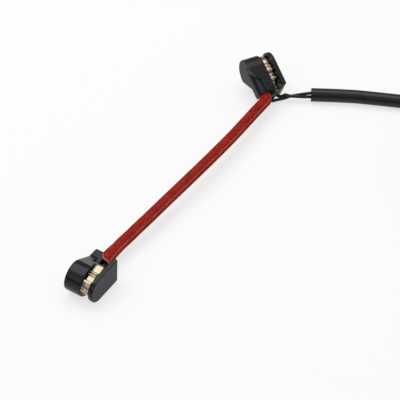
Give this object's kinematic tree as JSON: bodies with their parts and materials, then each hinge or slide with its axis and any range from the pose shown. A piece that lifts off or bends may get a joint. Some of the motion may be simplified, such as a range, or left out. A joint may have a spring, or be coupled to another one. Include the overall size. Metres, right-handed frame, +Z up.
{
  "type": "brake pad wear sensor",
  "caption": "Brake pad wear sensor: two slotted plastic heads with spring clips, joined by a red braided sleeve, on a coiled sheathed lead with a plug.",
  "frame": {"origin": "centre of the bounding box at the floor", "axes": "+Z up from the floor the sensor lies on; +X towards the sheathed lead, +Y from the end head's side towards the middle head's"},
  "size_m": [0.2408, 0.1757, 0.0214],
  "materials": {
    "head": "moulded black plastic, satin",
    "clip": "bronze spring strip, bright",
    "wire": "black insulated wire",
    "sleeve": "red braided glass-fibre sleeve",
    "sheath": "satin black flexible sheath",
    "tie": "black cable tie",
    "collar": "black heat-shrink collar",
    "plug": "moulded black plug",
    "cover": "dark grey seal cover",
    "lock": "pale plastic lock",
    "seal": "green silicone seal",
    "metal": "tinned contact"
  },
  "bodies": {
    "root": {"end_head_body": "head", "mid_head_body": "head", "end_head_clip": "clip", "mid_head_clip": "clip", "sense_wire": "wire", "link_sleeve": "sleeve", "lead_sheath_run": "sheath", "lead_coil": "sheath", "lead_sheath_tail": "sheath", "coil_tie": "tie", "lead_shrink_collar": "collar", "plug_wire_1": "wire", "plug_wire_2": "wire", "plug_housing": "plug", "plug_seal_cover": "cover", "plug_secondary_lock": "lock", "plug_front_seal": "seal", "plug_wire_seal_1": "seal", "plug_wire_seal_2": "seal", "plug_terminal_1": "metal", "plug_terminal_2": "metal"}
  },
  "joints": []
}
